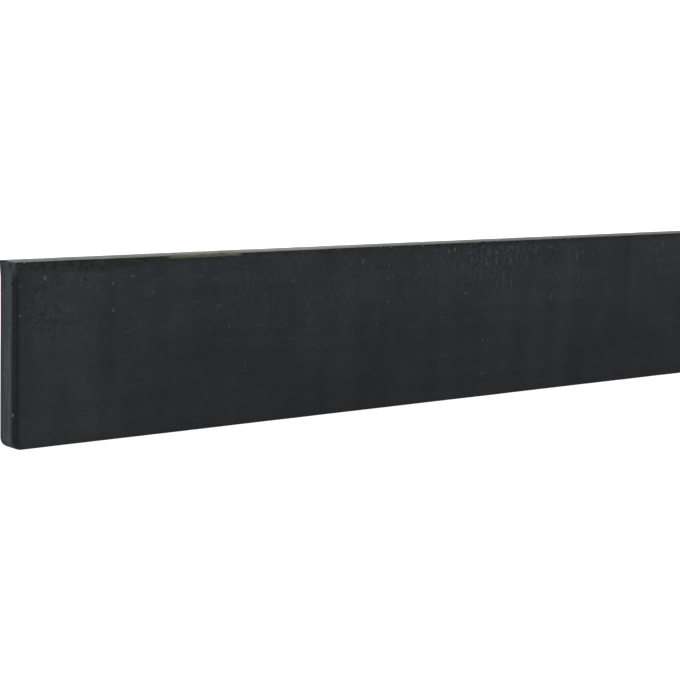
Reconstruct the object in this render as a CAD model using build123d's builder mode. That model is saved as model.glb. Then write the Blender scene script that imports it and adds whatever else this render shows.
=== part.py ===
from build123d import *
import os

# A plain concrete gravel board, lying on its back with the photographed face up.
# It is cast standing in a mould. The mould's floor rounds the lower long edge (-Y) and its
# walls round the upright end edges. The upper long edge (+Y) is the mould's open side.
# X is the board's length, Y its height in the fence and Z its thickness. Sizes are in millimetres.

board_length = 1830.0
board_height = 305.0
board_thickness = 50.0

# Edges that the mould forms
mould_corner_radius = 16.0  # the two lower corners, seen from the face
mould_arris_radius = 8.0  # along the bottom and up both ends

# Edges at the open side, which is struck off by hand
run_out_height = 28.0  # below the open side, where the end arrises run out
open_corner_radius = 2.5  # what is left of the end arrises at the open side
open_arris_radius = 1.5  # worn round the open side

bottom_y = -board_height / 2
open_y = board_height / 2
run_out_y = open_y - run_out_height


def level_section(y, corner_radius):
    """The board's section at one level of the mould, rounded at its four arrises."""
    level = Plane(origin=(0, y, board_thickness / 2), x_dir=(1, 0, 0), z_dir=(0, 1, 0))
    with BuildSketch(level) as section:
        RectangleRounded(board_length, board_thickness, corner_radius)
    return section.sketch


run_out_sections = [
    level_section(run_out_y, mould_arris_radius),
    level_section(open_y, open_corner_radius),
]

with BuildPart() as gravel_board:
    # The moulded body, up to the level where the end arrises run out
    with BuildSketch(Plane(origin=(0, bottom_y, 0))) as outline:
        Rectangle(board_length, run_out_y - bottom_y, align=(Align.CENTER, Align.MIN))
        lower_corners = outline.vertices().group_by(Axis.Y)[0]
        fillet(lower_corners, radius=mould_corner_radius)
    extrude(amount=board_thickness)
    face_edges = gravel_board.faces().filter_by(Axis.Z).edges()
    mould_arrises = face_edges - face_edges.group_by(Axis.Y)[-1]
    fillet(mould_arrises, radius=mould_arris_radius)

    # The end arrises sharpen towards the open side
    loft(run_out_sections)

    # The arris round the open side
    open_arrises = gravel_board.faces().sort_by(Axis.Y)[-1].edges()
    fillet(open_arrises, radius=open_arris_radius)

gravel_board.part.label = "gravel_board"

os.makedirs("parts", exist_ok=True)
export_step(gravel_board.part, "parts/gravel_board.step")
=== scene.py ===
import bpy
import bmesh
import math
import random
from types import SimpleNamespace
from mathutils import Euler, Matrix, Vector


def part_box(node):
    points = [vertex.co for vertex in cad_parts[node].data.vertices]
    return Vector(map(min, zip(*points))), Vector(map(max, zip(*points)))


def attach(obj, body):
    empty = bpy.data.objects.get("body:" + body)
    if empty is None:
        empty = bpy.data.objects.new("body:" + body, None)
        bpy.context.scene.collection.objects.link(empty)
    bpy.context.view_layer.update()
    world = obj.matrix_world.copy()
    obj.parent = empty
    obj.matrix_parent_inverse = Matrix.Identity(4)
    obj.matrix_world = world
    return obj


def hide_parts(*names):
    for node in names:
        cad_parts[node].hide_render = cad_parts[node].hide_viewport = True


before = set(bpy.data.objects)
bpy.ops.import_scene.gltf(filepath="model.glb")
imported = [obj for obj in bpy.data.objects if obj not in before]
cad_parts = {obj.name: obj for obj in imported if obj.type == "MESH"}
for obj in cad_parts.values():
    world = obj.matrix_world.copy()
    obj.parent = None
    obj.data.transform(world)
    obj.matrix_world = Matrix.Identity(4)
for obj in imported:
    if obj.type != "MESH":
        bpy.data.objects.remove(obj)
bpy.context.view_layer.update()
low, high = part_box('gravel_board')
size = high - low
middle = (low + high) / 2
print('frame loaded, board is', [round(side, 3) for side in size])


# Camera: off the left end, looking down along the board that lies on its back
cameraSetup = {
    'place': (-2.4496, .4405, 2.6687),
    'turn': (-8.838, -39.996, 1.948),    # degrees
    'lens': 100.25,
}


def addCamera(setup):
    bpy.ops.object.camera_add(
        location=setup['place'], rotation=[math.radians(angle) for angle in setup['turn']])
    camera = bpy.context.object
    camera.name = 'camera'
    camera.data.sensor_width = 36
    camera.data.lens = setup['lens']
    camera.data.clip_end = 100
    bpy.context.scene.camera = camera


# Studio: a white floor, a plain sky and one broad lamp from the upper left
studio = {
    'floorSize': 40,
    'floorColour': (.8, .8, .8, 1),
    'floorLift': .8,            # seen by the camera only, so that the floor reads as white
    'sky': .5,
    'lampFrom': (-.82, .45, .36),
    'lampStrength': 3.1,
    'lampSpread': 50,           # degrees, a wide source for soft shadows
}


class Wire:
    # one socket of a shader, so that shader maths reads as plain sums
    def __init__(self, tree, socket=None):
        self.tree = tree
        self.socket = socket

    def node(self, kind, settings, inputs, output=0):
        made = self.tree.nodes.new(kind)
        for name, value in settings.items():
            setattr(made, name, value)
        for name, value in inputs.items():
            if isinstance(value, Wire):
                self.tree.links.new(value.socket, made.inputs[name])
            else:
                made.inputs[name].default_value = value
        return Wire(self.tree, made.outputs[output] if len(made.outputs) else None)

    def other(self, output):
        # another output of the same node
        return Wire(self.tree, self.socket.node.outputs[output])

    def parts(self):
        split = self.node('ShaderNodeSeparateXYZ', {}, {0: self})
        return split, split.other('Y'), split.other('Z')

    def sum(self, operation, *values):
        return self.node('ShaderNodeMath', {'operation': operation}, dict(enumerate(values)))

    def __add__(self, other):
        return self.sum('ADD', self, other)

    def __radd__(self, other):
        return self.sum('ADD', other, self)

    def __sub__(self, other):
        return self.sum('SUBTRACT', self, other)

    def __rsub__(self, other):
        return self.sum('SUBTRACT', other, self)

    def __mul__(self, other):
        return self.sum('MULTIPLY', self, other)

    def __rmul__(self, other):
        return self.sum('MULTIPLY', other, self)

    def __pow__(self, other):
        return self.sum('POWER', self, other)

    def __abs__(self):
        return self.sum('ABSOLUTE', self)

    def over(self, other):
        # the larger of the two
        return self.sum('MAXIMUM', self, other)

    def ramp(self, start, end, bottom=0, top=1):
        # soft step: bottom below start, top above end
        return self.node('ShaderNodeMapRange', {'interpolation_type': 'SMOOTHSTEP'},
                         {0: self, 1: start, 2: end, 3: bottom, 4: top})

    def between(self, start, end, soft):
        return self.ramp(start - soft, start + soft) * self.ramp(end - soft, end + soft, 1, 0)

    def tint(self, first, second):
        # self is the share of the second colour
        return self.node('ShaderNodeMix', {'data_type': 'RGBA'}, {0: self, 6: first, 7: second}, 2)

    def shadeOf(self, colour):
        # the colour times self
        return self.node('ShaderNodeMix', {'data_type': 'RGBA', 'blend_type': 'MULTIPLY'},
                         {0: 1.0, 6: colour, 7: self}, 2)


def newMaterial(name):
    material = bpy.data.materials.new(name)
    material.use_nodes = True
    material.node_tree.nodes.clear()
    return material, Wire(material.node_tree)


def addFloor(setup):
    bpy.ops.object.select_all(action='DESELECT')
    bpy.ops.mesh.primitive_plane_add(size=setup['floorSize'], location=(0, 0, low.z))
    floor = bpy.context.object
    floor.name = 'floor'
    bpy.ops.object.transform_apply(location=True, rotation=True, scale=True)
    material, wire = newMaterial('whiteFloor')
    matt = wire.node('ShaderNodeBsdfDiffuse', {}, {'Color': setup['floorColour']})
    isCamera = wire.node('ShaderNodeLightPath', {}, {}, 'Is Camera Ray')
    glow = wire.node('ShaderNodeEmission', {}, {'Strength': isCamera * setup['floorLift']})
    both = wire.node('ShaderNodeAddShader', {}, {0: matt, 1: glow})
    wire.node('ShaderNodeOutputMaterial', {}, {'Surface': both})
    floor.data.materials.append(material)


def addSky(setup):
    world = bpy.data.worlds.new('studioSky')
    world.use_nodes = True
    world.node_tree.nodes.clear()
    bpy.context.scene.world = world
    wire = Wire(world.node_tree)
    isCamera = wire.node('ShaderNodeLightPath', {}, {}, 'Is Camera Ray')
    strength = isCamera * (1 - setup['sky']) + setup['sky']
    glow = wire.node('ShaderNodeBackground', {}, {'Color': (1, 1, 1, 1), 'Strength': strength})
    wire.node('ShaderNodeOutputWorld', {}, {'Surface': glow})


def addLamp(setup):
    bpy.ops.object.light_add(type='SUN', location=Vector(setup['lampFrom']) * 3)
    lamp = bpy.context.object
    lamp.name = 'broadLamp'
    lamp.rotation_euler = Vector(setup['lampFrom']).to_track_quat('Z', 'Y').to_euler()
    lamp.data.energy = setup['lampStrength']
    lamp.data.angle = math.radians(setup['lampSpread'])


# The board: cast standing in a mould, on its bottom edge (-Y), and open along its top edge (+Y)
board = {
    'cornerRadius': .016,     # the two lower corners, seen from the face
    'arrisRadius': .008,      # along the bottom and up both ends
    'runOut': .028,           # below the open side, where the end arrises sharpen
    'openCorner': .0025,      # what is left of them at the open side
    'openArris': .0015,
    'cornerSteps': 8,         # facets of the rounded edges
    'arrisSteps': 6,
    'openSteps': 3,
    'runOutCuts': 4,
    'cell': .008,             # grid of the finished mesh
    'openCuts': 2,            # and how often it is cut again on the open side
    'waviness': .0005,        # of the moulded faces, and how far apart its waves are
    'waveSize': .11,
    'roughTop': .0016,        # of the open side, with marks drawn out along it and grain
    'trowelSize': .008,
    'trowelWay': 6,
    'grainSize': .005,
    'grainShare': .6,
}
near = 1e-5    # metres, for edges and faces that are found by their place
poreSlot, brokenSlot = 1, 2    # after the cast concrete itself


def onFace(fromLeft, fromTop, top=True):
    # a place on the photographed face, or on the back of the board
    return low.x + fromLeft, high.y - fromTop, high.z if top else low.z


def pick(kind, test):
    bpy.ops.mesh.select_all(action='DESELECT')
    mesh = bpy.context.object.data
    shape = bmesh.from_edit_mesh(mesh)
    for item in getattr(shape, kind):
        if test(item):
            item.select_set(True)
    shape.select_flush_mode()
    bmesh.update_edit_mesh(mesh)


def liesAt(item, axis, place):
    return all(abs(vert.co[axis] - place) < near for vert in item.verts)


def runsAlong(edge, axis):
    way = edge.verts[1].co - edge.verts[0].co
    return abs(way[axis]) > .9999 * way.length


def sliceAt(axis, place):
    bpy.ops.mesh.select_all(action='SELECT')
    point = Vector((0, 0, 0))
    normal = Vector((0, 0, 0))
    point[axis] = place
    normal[axis] = 1
    bpy.ops.mesh.bisect(plane_co=point, plane_no=normal)


def moulding(setup):
    # the part that the mould shapes, up to where the end arrises run out
    topOfMould = high.y - setup['runOut']
    bpy.ops.object.select_all(action='DESELECT')
    bpy.ops.mesh.primitive_cube_add(
        size=1, location=(middle.x, (low.y + topOfMould) / 2, middle.z),
        scale=(size.x, topOfMould - low.y, size.z))
    bpy.ops.object.transform_apply(location=True, rotation=True, scale=True)
    bpy.ops.object.mode_set(mode='EDIT')
    bpy.ops.mesh.select_mode(type='EDGE')
    pick('edges', lambda edge: runsAlong(edge, 2) and liesAt(edge, 1, low.y))
    bpy.ops.mesh.bevel(offset=setup['cornerRadius'], segments=setup['cornerSteps'], profile=.5)
    pick('edges', lambda edge: not liesAt(edge, 1, topOfMould)
         and (liesAt(edge, 2, low.z) or liesAt(edge, 2, high.z)))
    bpy.ops.mesh.bevel(offset=setup['arrisRadius'], segments=setup['arrisSteps'], profile=.5)

    # the open side, joined on by the stretch where the end arrises sharpen
    bpy.ops.mesh.select_mode(type='FACE')
    pick('faces', lambda face: liesAt(face, 1, topOfMould))
    bpy.ops.mesh.delete(type='FACE')
    openSide = (middle.x, high.y, middle.z)
    bpy.ops.mesh.primitive_plane_add(size=1, location=openSide, rotation=(-math.pi / 2, 0, 0))
    bpy.ops.transform.resize(value=(size.x, 1, size.z), center_override=openSide)
    bpy.ops.mesh.select_mode(type='VERT')
    bpy.ops.mesh.bevel(
        offset=setup['openCorner'], segments=setup['arrisSteps'], profile=.5, affect='VERTICES')
    bpy.ops.mesh.select_mode(type='EDGE')
    pick('edges', lambda edge: liesAt(edge, 1, topOfMould) or liesAt(edge, 1, high.y))
    bpy.ops.mesh.bridge_edge_loops(number_cuts=setup['runOutCuts'])
    pick('edges', lambda edge: liesAt(edge, 1, high.y))
    bpy.ops.mesh.bevel(offset=setup['openArris'], segments=setup['openSteps'], profile=.5)
    return bpy.context.object


def divideRuns(axis, shortest, parts):
    # an edge takes a hundred cuts at most, so a long one is divided in two goes
    first = math.ceil(parts / 50)
    for pieces, least in ((first, shortest), (math.ceil(parts / first), shortest / first)):
        if pieces > 1:
            pick('edges', lambda edge: runsAlong(edge, axis) and edge.calc_length() > least * .99)
            bpy.ops.mesh.subdivide(number_cuts=pieces - 1)


def gridding(setup):
    # an even grid over the faces, so that they can be made uneven
    margin = setup['cornerRadius'] + .002
    for x in (low.x + margin, high.x - margin):
        sliceAt(0, x)
    sliceAt(1, low.y + margin)
    flat = size.z - 2 * setup['arrisRadius']
    rows = round(flat / setup['cell'])
    for row in range(rows + 1):
        sliceAt(2, low.z + setup['arrisRadius'] + flat * row / rows)
    span = size.x - 2 * margin
    divideRuns(0, span, round(span / setup['cell']))
    tall = size.y - setup['runOut'] - margin
    divideRuns(1, tall, round(tall / setup['cell']))
    # the open side and its arrises finer
    bpy.ops.mesh.select_mode(type='FACE')
    pick('faces', lambda face: face.calc_center_median().y > high.y - setup['openArris'] * 1.2)
    bpy.ops.mesh.subdivide(number_cuts=setup['openCuts'])
    bpy.ops.object.mode_set(mode='OBJECT')


def addGroup(piece, name, share):
    group = piece.vertex_groups.new(name=name)
    for vert in piece.data.vertices:
        weight = share(vert.co)
        if weight > 0:
            group.add([vert.index], min(weight, 1), 'REPLACE')


def displace(piece, name, group, noiseSize, depth, strength, guide=None):
    texture = bpy.data.textures.new(name, 'CLOUDS')
    texture.noise_scale = noiseSize
    texture.noise_depth = depth
    modifier = piece.modifiers.new(name, 'DISPLACE')
    modifier.texture = texture
    modifier.vertex_group = group
    modifier.strength = strength
    modifier.mid_level = .5
    modifier.texture_coords = 'LOCAL'
    if guide:
        modifier.texture_coords = 'OBJECT'
        modifier.texture_coords_object = guide
    bpy.ops.object.modifier_apply(modifier=name)


def openRoughness(co):
    # full strength inside the open side, less along its arrises
    fromArris = min(co.z - low.z, high.z - co.z, co.x - low.x, high.x - co.x)
    return .3 + .7 * min(max((fromArris - .003) / .006, 0), 1)


def addBoard(setup, holes):
    piece = moulding(setup)
    piece.name = 'castBoard'
    gridding(setup)
    # the back stays flat, because the board lies on it
    addGroup(piece, 'moulded', lambda co: (co.z - low.z) / .004)
    addGroup(piece, 'openSide', lambda co: (1 - (high.y - co.y) / .004) * openRoughness(co))
    displace(piece, 'waviness', 'moulded', setup['waveSize'], 1, setup['waviness'])
    bpy.ops.object.empty_add(location=(0, 0, 0))
    trowelWay = bpy.context.object
    trowelWay.scale = (setup['trowelWay'], 1, 1)
    activate(piece)
    rough = setup['roughTop']
    displace(piece, 'trowelMarks', 'openSide', setup['trowelSize'], 2, rough, trowelWay)
    displace(piece, 'roughTop', 'openSide', setup['grainSize'], 3, rough * setup['grainShare'])
    bpy.data.objects.remove(trowelWay)
    piece.vertex_groups.clear()
    print('board moulded,', len(piece.data.polygons), 'faces')

    for material in (castConcrete(concrete), shadedPoreInside(concrete), brokenConcrete(concrete)):
        piece.data.materials.append(material)
    cutters = Cutters(holes, piece.data.materials)
    placeMeasured(cutters, holes)
    placeChips(cutters, holes)
    scatterPores(cutters, holes)
    scatterOpenPores(cutters, holes)
    cuttingPiece = cutters.join()
    activate(piece)
    modifier = piece.modifiers.new('pores', 'BOOLEAN')
    modifier.operation = 'DIFFERENCE'
    modifier.solver = 'EXACT'
    modifier.material_mode = 'INDEX'
    modifier.object = cuttingPiece
    bpy.ops.object.modifier_apply(modifier='pores')
    bpy.data.objects.remove(cuttingPiece)
    bpy.ops.object.shade_smooth_by_angle(angle=math.radians(40))
    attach(piece, 'root')
    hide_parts('gravel_board')
    print('pores and chips cut,', len(piece.data.polygons), 'faces')


# Pores, dents and chips, each placed from the left end and below the top edge, in metres
holes = {
    'seed': 7,
    # with their radius last
    'blowholes': [
        (.081, .081, .0018), (.1325, .033, .0018), (.041, .100, .0015), (.039, .090, .0013),
        (.053, .086, .0013), (.035, .044, .0014), (.052, .039, .0015), (.081, .035, .0012),
        (.035, .105, .0013), (.067, .101, .0011), (.054, .111, .0011), (.040, .0465, .0011)],
    'paleDents': [
        (.054, .0255, .0041), (.0092, .038, .0019), (.0096, .086, .0019), (.1845, .041, .0025),
        (.1855, .0865, .0025), (.729, .025, .0028), (.793, .035, .0017), (.791, .061, .0017),
        (.794, .104, .0018), (1.043, .192, .0018), (1.045, .259, .0018), (.993, .099, .0023),
        (.223, .031, .0022), (.700, .030, .0017), (.961, .012, .0032), (.945, .014, .0028)],
    # in the left arris: below the top, behind the face, halves and material
    'arrisHoles': [
        (.0352, .0078, (.0050, .0021, .0034), poreSlot),
        (.2466, .0048, (.0012, .0035, .0034), brokenSlot)],
    # Scattered pores. Radii are the least and the largest, growth is the least and what may come on top
    'cluster': (.030, .088, .020, .125),    # left, right, top and bottom of where small ones crowd
    'clusterCount': 20,
    'clusterRadii': (.0005, .0011),
    'faceCount': 80,
    'backCount': 90,
    'faceGrowth': (.0004, .0009),
    'endCount': 12,
    'endRadii': (.0006, .0014),
    'bottomCount': 40,
    'bottomRadii': (.0006, .0016),
    'openCount': 90,
    'openGrowth': (.0008, .0022),
    'clear': .02,                           # how far they stay from the ends and the bottom
    'clearTop': .012,
    'sideSpan': (.010, .040),               # how high they lie on the ends and the bottom
    'openSpan': (.006, .044),
    # chips of the open side's arrises: from the left, and half their length
    'frontChips': [
        (.668, .010), (.681, .005), (.905, .004), (.930, .006), (.962, .007), (.985, .004),
        (1.046, .009), (1.062, .006), (1.078, .011), (1.12, .005), (1.19, .004)],
    'backChips': [(.672, .012), (1.052, .010), (1.075, .008)],
    'deepChips': [(1.037, .0052), (1.066, .0040)],    # dark with the pores' painted shade, in the front arris
    'deepBelow': .0012,
    'deepHalves': (.0034, .0030),
    'chipCount': 55,                        # more of them, anywhere along each arris
    'chipGrowth': (.0012, .0045),
    'chipLean': .3,
}


def activate(piece):
    bpy.ops.object.select_all(action='DESELECT')
    piece.select_set(True)
    bpy.context.view_layer.objects.active = piece


def addLumpyBall(name, fineness, lumpSize, lumps, materials):
    # a metre in radius until it is sized
    bpy.ops.object.select_all(action='DESELECT')
    bpy.ops.mesh.primitive_ico_sphere_add(subdivisions=fineness, radius=1)
    shape = bpy.context.object
    shape.name = name
    addGroup(shape, 'allOver', lambda co: 1)
    displace(shape, name + 'Lumps', 'allOver', lumpSize, 2, lumps)
    shape.vertex_groups.clear()
    for material in materials:
        shape.data.materials.append(material)
    return shape


class Cutters:
    # what the pores and chips are cut with, all copied from two lumpy balls
    def __init__(self, setup, materials):
        self.rng = random.Random(setup['seed'])
        self.pore = addLumpyBall('pore', 2, .9, .5, materials)
        self.chip = addLumpyBall('chip', 3, .6, 1.1, materials)
        self.pieces = []
        self.taken = []

    def cut(self, place, halves, slot=poreSlot, shape=None, lean=0):
        # leaves out what would run into another cutter
        reach = max(halves) * 1.4
        place = Vector(place)
        if any((place - other).length < reach + otherReach for other, otherReach in self.taken):
            return
        self.taken.append((place, reach))
        shape = shape or self.pore
        copy = shape.copy()
        copy.data = shape.data.copy()
        # turned before it is flattened, so that no two look alike
        turn = Euler([self.rng.uniform(-3, 3) for axis in 'xyz'])
        copy.data.transform(turn.to_matrix().to_4x4())
        for face in copy.data.polygons:
            face.material_index = slot
        copy.location = place
        copy.scale = halves
        copy.rotation_euler = [self.rng.uniform(-lean, lean) for axis in 'xyz']
        bpy.context.collection.objects.link(copy)
        self.pieces.append(copy)

    def mostlySmall(self, least, more, power=2):
        return least + more * self.rng.random() ** power

    def uneven(self, radius, depth):
        across = radius * self.rng.uniform(.8, 1.2)
        return across, radius * self.rng.uniform(.8, 1.2), radius * depth

    def join(self):
        bpy.data.objects.remove(self.pore)
        bpy.data.objects.remove(self.chip)
        bpy.ops.object.select_all(action='DESELECT')
        for piece in self.pieces:
            piece.select_set(True)
        bpy.context.view_layer.objects.active = self.pieces[0]
        bpy.ops.object.join()
        bpy.ops.object.transform_apply(location=True, rotation=True, scale=True)
        return bpy.context.object


def placeMeasured(cutters, setup):
    # those that the photograph shows one by one
    for fromTop, fromFace, halves, slot in setup['arrisHoles']:
        cutters.cut((low.x, high.y - fromTop, high.z - fromFace), halves, slot)
    for fromLeft, fromTop, radius in setup['blowholes']:
        cutters.cut(onFace(fromLeft, fromTop), cutters.uneven(radius, .8))
    for fromLeft, fromTop, radius in setup['paleDents']:
        halves = (radius, radius * 1.25, radius * .45)
        cutters.cut(onFace(fromLeft, fromTop), halves, brokenSlot, cutters.chip)


def placeChips(cutters, setup):
    # along the arrises of the open side, long and thin
    rng = cutters.rng
    lean = setup['chipLean']
    for fromLeft, length in setup['deepChips']:
        place = (low.x + fromLeft, high.y - setup['deepBelow'], high.z)
        cutters.cut(place, (length, *setup['deepHalves']), poreSlot, cutters.chip, lean)
    for level, chips in ((high.z, setup['frontChips']), (low.z, setup['backChips'])):
        more = [(rng.uniform(.01, size.x - .01), cutters.mostlySmall(*setup['chipGrowth'], 3))
                for count in range(setup['chipCount'])]
        for fromLeft, length in chips + more:
            deep = min(length * .5, .0024) * rng.uniform(.7, 1.1)
            halves = (length, deep * rng.uniform(.7, 1.4), deep * rng.uniform(.7, 1.4))
            place = (low.x + fromLeft, high.y, level)
            cutters.cut(place, halves, brokenSlot, cutters.chip, lean)


def scatterPores(cutters, setup):
    # over the moulded faces
    rng = cutters.rng
    clear, clearTop = setup['clear'], setup['clearTop']
    left, right, top, bottom = setup['cluster']
    for count in range(setup['clusterCount']):
        place = onFace(rng.uniform(left, right), rng.uniform(top, bottom))
        cutters.cut(place, cutters.uneven(rng.uniform(*setup['clusterRadii']), .7))
    for front, number in ((True, setup['faceCount']), (False, setup['backCount'])):
        for count in range(number):
            # air rises in the mould, so there are more of them near the top
            fromTop = cutters.mostlySmall(clearTop, size.y - clearTop - clear, 1.8)
            place = onFace(rng.uniform(clear, size.x - clear), fromTop, front)
            radius = cutters.mostlySmall(*setup['faceGrowth'])
            cutters.cut(place, cutters.uneven(radius, rng.uniform(.4, .8)))
    for end in (low.x, high.x):
        for count in range(setup['endCount']):
            radius = rng.uniform(*setup['endRadii'])
            up = rng.uniform(low.y + clear, high.y - clear)
            place = (end, up, rng.uniform(*setup['sideSpan']))
            cutters.cut(place, (radius * .8, radius, radius))
    for count in range(setup['bottomCount']):
        radius = rng.uniform(*setup['bottomRadii'])
        along = rng.uniform(low.x + clear, high.x - clear)
        place = (along, low.y, rng.uniform(*setup['sideSpan']))
        cutters.cut(place, (radius, radius * .8, radius))


def scatterOpenPores(cutters, setup):
    # over the open side, drawn out by the trowel, and every third one broken
    rng = cutters.rng
    clear = setup['clear']
    for count in range(setup['openCount']):
        radius = cutters.mostlySmall(*setup['openGrowth'])
        along = rng.uniform(low.x + clear, high.x - clear)
        place = (along, high.y, rng.uniform(*setup['openSpan']))
        halves = (radius * rng.uniform(1, 2.2), radius * .7, radius)
        cutters.cut(place, halves, rng.choice((poreSlot, poreSlot, brokenSlot)))


# The concrete: black pigment all through, what the mould, the trowel and the yard left on it, and
# painted light and shade on its arrises, ends, lower face, pores and open side
concrete = {
    'cool': (.0218, .0260, .0290, 1),       # the hues that the moulded faces drift between
    'violet': (.0235, .0250, .0298, 1),
    'plain': (.0222, .0235, .0258, 1),
    'end': (.0314, .0374, .0438, 1),        # laitance on both ends, made paler by painted light that they catch from the side
    'arris': (.0061, .0069, .0067, 1),      # painted shade: the rounded arrises darkened like the dark reflection they catch
    'openSide': (.256, .261, .256, 1),      # struck off, dry and dusty, with painted sheen from grazing light in its paleness
    'openDark': (.172, .178, .175, 1),
    'rim': (.0175, .0195, .0165, 1),        # damp line under the open side
    'line': (.0080, .0090, .0085, 1),       # its front arris
    'stain': (.115, .113, .080, 1),
    'stainSpan': (.295, .447),              # from the left end
    'brokenEdge': 1.055,                    # where its front arris is darkest, from the left
    'pale': (.068, .072, .077, 1),          # dried paste in dents and scratches
    # painted shade: pores and deep chips darker inside than the faces they open on
    'inside': (.0130, .0138, .0145, 1),
    'openInside': (.110, .112, .106, 1),
    'openChip': (.090, .092, .090, 1),
    # paler and darker uprights: from the left, half width and change
    'bands': [(.098, .026, .12), (.197, .016, .10), (1.525, .028, .12), (1.455, .016, -.12)],
    # pale marks: from the left, below the top, and their halves
    'dashes': [
        (.358, .037, .020, .0026), (.358, .081, .018, .0026), (.398, .044, .014, .0024),
        (.401, .090, .012, .0024), (.495, .129, .016, .0024), (.608, .145, .018, .0022),
        (.224, .032, .010, .0028), (.275, .039, .014, .0024), (.253, .023, .008, .0030),
        (.569, .054, .012, .0024), (.465, .052, .0026, .030)],
    'streaks': [
        (1.0732, .041, .0034, .015), (1.0726, .056, .0030, .010), (1.0777, .084, .0032, .011),
        (1.1175, .084, .0026, .009), (1.1118, .041, .0030, .008), (1.0458, .038, .0040, .008),
        (1.1294, .031, .0024, .010), (1.3036, .037, .0034, .016), (1.567, .021, .0030, .010),
        (1.2317, .116, .0028, .009), (.9449, .0165, .0030, .006), (.9604, .0115, .0030, .008)],
    'blots': [
        (.9948, .0110, .0060, .0036), (.9993, .0206, .0060, .0034), (1.0349, .0100, .0036, .0040),
        (1.0539, .0095, .0040, .0034), (1.0750, .0225, .0080, .0046), (1.1145, .0129, .0080, .0030),
        (1.2796, .0296, .0040, .0046), (1.3481, .0341, .0040, .0060), (.9937, .0987, .0036, .0036),
        (1.2221, .0165, .0150, .0034), (1.3195, .0300, .0040, .0040), (1.1824, .0232, .0040, .0050),
        (1.1876, .0144, .0060, .0030), (1.2426, .0212, .0050, .0034), (1.0620, .0060, .0060, .0030),
        (1.0860, .0110, .0100, .0055)],
    'markStrength': {'dashes': .5, 'streaks': .9, 'blots': .8},
    # with their strength last
    'pitted': [(.058, .078, .060, .085, .40), (1.07, .03, .16, .060, .44)],
    'endLines': [(.0124, .0012, .35), (.0187, .0010, .18)],    # above the back, half and strength
    'scratched': (.93, 1.26, .006, .115),   # left, right, top and bottom of the scuffed patch
    'roughness': .66,
    'gloss': .12,
}


def noise(place, scale, detail=2, stretch=(1, 1, 1), shift=0):
    moved = place.node('ShaderNodeMapping', {}, {
        'Vector': place, 'Location': (shift, shift, shift), 'Scale': [scale * way for way in stretch]})
    return place.node('ShaderNodeTexNoise', {}, {'Vector': moved, 'Scale': 1.0, 'Detail': detail})


def spots(place, cell, share, radius=.2, shift=0):
    # ovals scattered over some of the cells, which are as large as cell says, in metres
    moved = place.node('ShaderNodeMapping', {}, {
        'Vector': place, 'Location': (shift, shift, shift), 'Scale': [1 / side for side in cell]})
    cells = place.node('ShaderNodeTexVoronoi', {}, {'Vector': moved, 'Scale': 1.0})
    chance = cells.other('Color').parts()[0]
    return cells.ramp(radius * .5, radius, 1, 0) * chance.ramp(.99 - share, 1.01 - share)


def oval(place, centre, halves, soft=.4):
    # a soft spot, full inside the soft share of its halves
    moved = place.node('ShaderNodeMapping', {}, {
        'Vector': place, 'Scale': [1 / half for half in halves],
        'Location': [-way / half for way, half in zip(centre, halves)]})
    far = place.node('ShaderNodeVectorMath', {'operation': 'LENGTH'}, {0: moved}, 'Value')
    return far.ramp(soft, 1, 1, 0)


def measure(place):
    # how far a spot lies from the board's sides, which way it faces, and the noises all layers share
    at = SimpleNamespace(place=place)
    x, y, at.z = place.parts()
    at.normalX, at.normalY = place.other('Normal').parts()[:2]
    at.fromLeft = x - low.x
    at.fromEnd = high.x - abs(x)
    at.fromTop = high.y - y
    at.fromBottom = y - low.y
    at.fromFace = middle.z - abs(at.z - middle.z)
    corner = board['cornerRadius']
    acrossCorner = (corner - at.fromEnd).over(0)
    downCorner = (corner - at.fromBottom).over(0)
    at.fromOutline = corner - (acrossCorner * acrossCorner + downCorner * downCorner) ** .5
    at.front = at.z.ramp(.030, .042)
    at.grain = noise(place, 260)
    at.sand = noise(place, 850, 1)
    at.clouds = noise(place, 9, 4)
    at.blotches = noise(place, 55, 3)
    at.edgeWander = (at.blotches - .5) * .012
    return at


def mouldedFaces(setup, at):
    # a drift of hue, painted shade towards the bottom and beside the left end, clouds, the bands of the
    # mould and fine grain
    place, fromLeft, fromTop = at.place, at.fromLeft, at.fromTop
    hueDrift = noise(place, 6, 3, shift=3)
    tinted = (fromTop + (hueDrift - .5) * .45).ramp(.06, .17, 1, .10)
    hue = (fromLeft + (at.clouds - .5) * .5).ramp(.5, 1.2).tint(setup['cool'], setup['violet'])
    colour = tinted.tint(setup['plain'], hue)
    # painted shade: darker towards the bottom edge, except near the left end
    level = fromTop.ramp(.04, .30, 1.06, .84).over(fromLeft.ramp(.10, .35, 1.10, .5))
    # lighter towards the left, and painted shade in a strip beside the left arris
    level = level * fromLeft.ramp(0, .6, 1.09, 1.0) * fromLeft.ramp(.010, .042, .91, 1)
    level = level * fromLeft.ramp(1.35, 1.60, 1, 1.05)
    level = level * at.clouds.ramp(.3, .7, .92, 1.08)
    level = level * at.blotches.ramp(.3, .7, .96, 1.04)
    level = level * noise(place, 1, 2, (24, 2.5, 24)).ramp(.3, .7, .94, 1.06)
    level = level * noise(place, 1, 2, (3, 45, 45), 5).ramp(.3, .7, .95, 1.05)
    level = level * at.grain.ramp(.3, .7, .95, 1.05) * at.sand.ramp(.3, .7, .96, 1.04)
    flecks = noise(place, 150, 2, (1, .6, 1), 8).ramp(.50, .68) * at.clouds.ramp(.42, .58)
    level = level * (flecks * fromTop.ramp(.03, .22, .24, .05) + .98)
    mottle = noise(place, 105, 3, shift=11).ramp(.3, .7, -.5, .5)
    for across, down, halfAlong, halfUp, strength in setup['pitted']:
        pits = oval(place, onFace(across, down), (halfAlong, halfUp, .03), .3) * mottle
        level = level * (pits * strength + 1)
    fade = fromTop.ramp(.02, .26, 1, .25)
    for across, half, change in setup['bands']:
        level = level * (oval(place, onFace(across, .1), (half, .4, .03), 0) * fade * change + 1)
    return level.shadeOf(colour)


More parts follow.
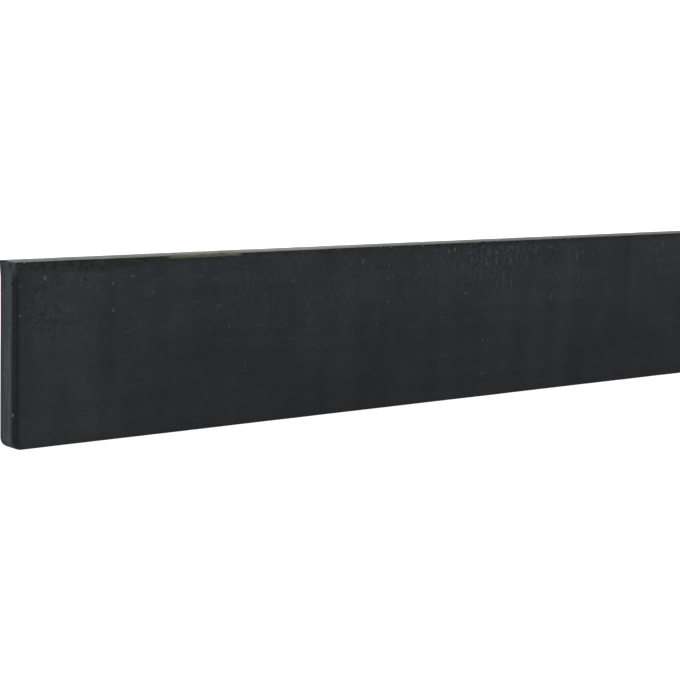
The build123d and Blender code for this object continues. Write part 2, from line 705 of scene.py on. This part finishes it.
def paleMarks(setup, at):
    # specks all over, dashes along it on the left, upright scratches on the right
    place, fromLeft, fromTop = at.place, at.fromLeft, at.fromTop
    left, right, top, bottom = setup['scratched']
    scuffed = fromLeft.between(left, right, .05) * fromTop.between(top, bottom, .02) * at.front
    scuffed = scuffed * fromTop.ramp(.03, .10, 1, .35)
    upper = fromTop.ramp(.10, .20, 1, .25)
    marks = spots(place, (.018, .020, .018), .26, .17) * upper * .75
    alongLeft = fromLeft.between(.16, .7, .06) * upper
    marks = marks.over(spots(place, (.050, .012, .015), .14, .22, 2) * alongLeft * .7)
    marks = marks.over(spots(place, (.009, .040, .014), .30, .26, 4) * scuffed.over(.13) * upper)
    marks = marks.over(spots(place, (.007, .010, .010), .35, .34, 6) * scuffed)
    scuffs = noise(place, 1, 3, (260, 40, 100), 9).ramp(.57, .68) * scuffed
    marks = marks.over(scuffs * .6)
    for name, strength in setup['markStrength'].items():
        for across, down, halfAlong, halfUp in setup[name]:
            mark = oval(place, onFace(across, down), (halfAlong, halfUp, .01))
            marks = marks.over(mark * strength)
    return marks * at.blotches.ramp(.35, .55, .4, 1) * at.grain.ramp(.3, .55, .5, 1)


# Each layer below gives its share and its colour
def endSkinAndPaintedLight(setup, at):
    # laitance on the ends, with painted light in its paleness
    share = abs(at.normalX).ramp(.84, .95) * at.fromEnd.ramp(.0040, .0060, 1, 0)
    share = share * (at.z + (at.blotches - .5) * .004).ramp(.0368, .0425, 1, 0)
    share = share * at.fromBottom.ramp(.003, .016, .15, 1)
    drips = noise(at.place, 1, 3, (150, 7, 330), 1)
    level = drips.ramp(.3, .7, .62, 1.28) * at.blotches.ramp(.3, .7, .9, 1.1)
    level = level * at.grain.ramp(.3, .7, .9, 1.1)
    level = level * at.z.ramp(.004, .024, .84, 1.06) * at.fromTop.ramp(.01, .09, .80, 1)
    for above, half, strength in setup['endLines']:
        level = level * (1 - at.z.between(above - half, above + half, .0006) * strength)
    stainPlace = (low.x, high.y - .0065, .036)
    level = level * (1 - oval(at.place, stainPlace, (.01, .0085, .0095), 0) * .6)
    return share, level.shadeOf(setup['end'])


def dampRim(setup, at):
    # under the open side, brownish and blotched, strongest on the left
    fromLeft = at.fromLeft
    depth = fromLeft.ramp(.02, .17, .0135, .0180) * fromLeft.ramp(.17, .26, 1, .55)
    depth = depth + (noise(at.place, 8, 2, shift=12) - .5) * .020
    share = (at.fromTop + at.edgeWander + (at.grain - .5) * .008 - depth).ramp(-.004, .003, 1, 0)
    share = share * fromLeft.ramp(.18, .50, 1, .75) * at.fromEnd.ramp(.0005, .0030)
    level = noise(at.place, 140, 3, (.7, 1, 1)).ramp(.35, .65, .72, 1.5)
    return share * .85, level.shadeOf(setup['rim'])


def paintedShadeArris(setup, at):
    # painted shade where the mould was rounded, fading out where it ends
    around = at.fromOutline - at.fromFace
    share = around.ramp(-.0100, -.0065) * around.ramp(.0025, .0135, 1, 0)
    share = share * at.fromEnd.ramp(.008, .018, 1, 0) * at.z.ramp(.010, .030, .5, 1)
    share = share * at.fromTop.ramp(.010, .030) * at.fromBottom.ramp(.004, .014, .35, 1)
    # painted shade along the bottom edge, on the turned-down half of its arris
    share = share.over(at.fromBottom.ramp(.0005, .0030, .6, 0))
    return share * .95, at.grain.ramp(.3, .7, .9, 1.1).shadeOf(setup['arris'])


def frontLine(setup, at):
    # along the front arris of the open side, broken, and strongest on the far right
    share = (at.fromTop + at.edgeWander * .25).ramp(.0022, .0050, 1, 0) * at.front
    share = share * at.fromEnd.ramp(.0005, .0030)
    patches = noise(at.place, 1, 2, (40, 10, 10), 13).ramp(.48, .62, .15, .8)
    return share * patches.over(at.fromLeft.ramp(1.45, 1.60) * .7), setup['line']


def openSide(setup, at):
    # struck off by hand along its length
    # pale partly from dust and partly from painted sheen
    share = at.normalY.ramp(.65, .90) * at.fromTop.ramp(.004, .006, 1, 0)
    level = at.fromLeft.ramp(0, size.x, 1.05, .9) * at.z.ramp(.010, .048, 1.1, .72)
    level = level * (at.fromLeft.between(.50, .74, .07) * .35 + 1)
    brokenPlace = (low.x + setup['brokenEdge'], high.y, high.z)
    level = level * (1 - oval(at.place, brokenPlace, (.026, .008, .014), .2) * .45)
    level = level * at.grain.ramp(.3, .7, .9, 1.1) * at.sand.ramp(.3, .7, .85, 1.12)
    struck = noise(at.place, 1, 4, (14, 170, 170))
    bare = struck.ramp(.35, .65).tint(setup['openDark'], setup['openSide'])
    return share, level.shadeOf(bare)


def frontStain(setup, at):
    # yellowish, on the front arris of the open side
    begin, end = setup['stainSpan']
    share = (at.fromLeft + (at.clouds - .5) * .03).between(begin, end, .010) * at.front
    share = share * (at.fromTop + at.edgeWander * .4).ramp(.0030, .0065, 1, 0)
    share = share * at.z.ramp(.040, .046)
    return share, at.blotches.ramp(.35, .65, .8, 1.15).shadeOf(setup['stain'])


def darkCap(setup, at):
    # on the back corners of the open side
    share = at.fromEnd.ramp(.003, .006, 1, 0) * at.z.ramp(.020, .032, 1, 0)
    return share * at.fromTop.ramp(.0008, .0025, 1, 0) * .9, setup['line']


def castConcrete(setup):
    material, wire = newMaterial('castConcrete')
    at = measure(wire.node('ShaderNodeTexCoord', {}, {}, 'Object'))
    colour = mouldedFaces(setup, at)
    marks = paleMarks(setup, at)
    colour = (marks * .7).tint(colour, setup['pale'])
    for layer in (endSkinAndPaintedLight, dampRim, paintedShadeArris, frontLine):
        share, paint = layer(setup, at)
        colour = share.tint(colour, paint)
    opened, openColour = openSide(setup, at)
    colour = opened.tint(colour, openColour)
    stained, stainColour = frontStain(setup, at)
    colour = (stained * .85).tint(colour, stainColour)
    capped, capColour = darkCap(setup, at)
    colour = capped.tint(colour, capColour)

    dry = opened.over(marks * .6).over(stained)
    roughness = dry * .25 + (at.blotches - .5) * .25 + setup['roughness']
    # relief, in metres
    relief = (at.grain - .5) * .00010 + (at.sand - .5) * .00005
    relief = relief + opened * ((at.grain - .5) * .0008 + (at.sand - .5) * .0004)
    bump = wire.node('ShaderNodeBump', {}, {'Strength': 1.0, 'Distance': 1.0, 'Height': relief})
    skin = wire.node('ShaderNodeBsdfPrincipled', {}, {
        'Base Color': colour, 'Roughness': roughness, 'Specular IOR Level': setup['gloss'],
        'Normal': bump})
    wire.node('ShaderNodeOutputMaterial', {}, {'Surface': skin})
    return material


def grainy(name, colour, openColour, roughness, relief, gloss):
    # inside a pore or a chip, paler where it opens on the dry open side, behind its front arris
    material, wire = newMaterial(name)
    place = wire.node('ShaderNodeTexCoord', {}, {}, 'Object')
    grain = noise(place, 500, 3)
    y, z = place.parts()[1:]
    covered = (high.y - y).ramp(.003, .007).over(z.ramp(high.z - .008, high.z - .005))
    tone = covered.tint(openColour, colour)
    bump = wire.node('ShaderNodeBump', {}, {
        'Strength': 1.0, 'Distance': 1.0, 'Height': (grain - .5) * relief})
    skin = wire.node('ShaderNodeBsdfPrincipled', {}, {
        'Base Color': grain.ramp(.3, .7, .7, 1.3).shadeOf(tone), 'Roughness': roughness,
        'Specular IOR Level': gloss, 'Normal': bump})
    wire.node('ShaderNodeOutputMaterial', {}, {'Surface': skin})
    return material


# painted shade: the darker colours of pores, as shade in a recess
def shadedPoreInside(setup):
    return grainy('shadedPoreInside', setup['inside'], setup['openInside'], .85, .0002, setup['gloss'])


def brokenConcrete(setup):
    return grainy('brokenConcrete', setup['pale'], setup['openChip'], .9, .0006, setup['gloss'])


bpy.context.scene.view_settings.view_transform = 'Standard'
addCamera(cameraSetup)
addFloor(studio)
addSky(studio)
addLamp(studio)
print('studio set')
addBoard(board, holes)
print('concrete finished')
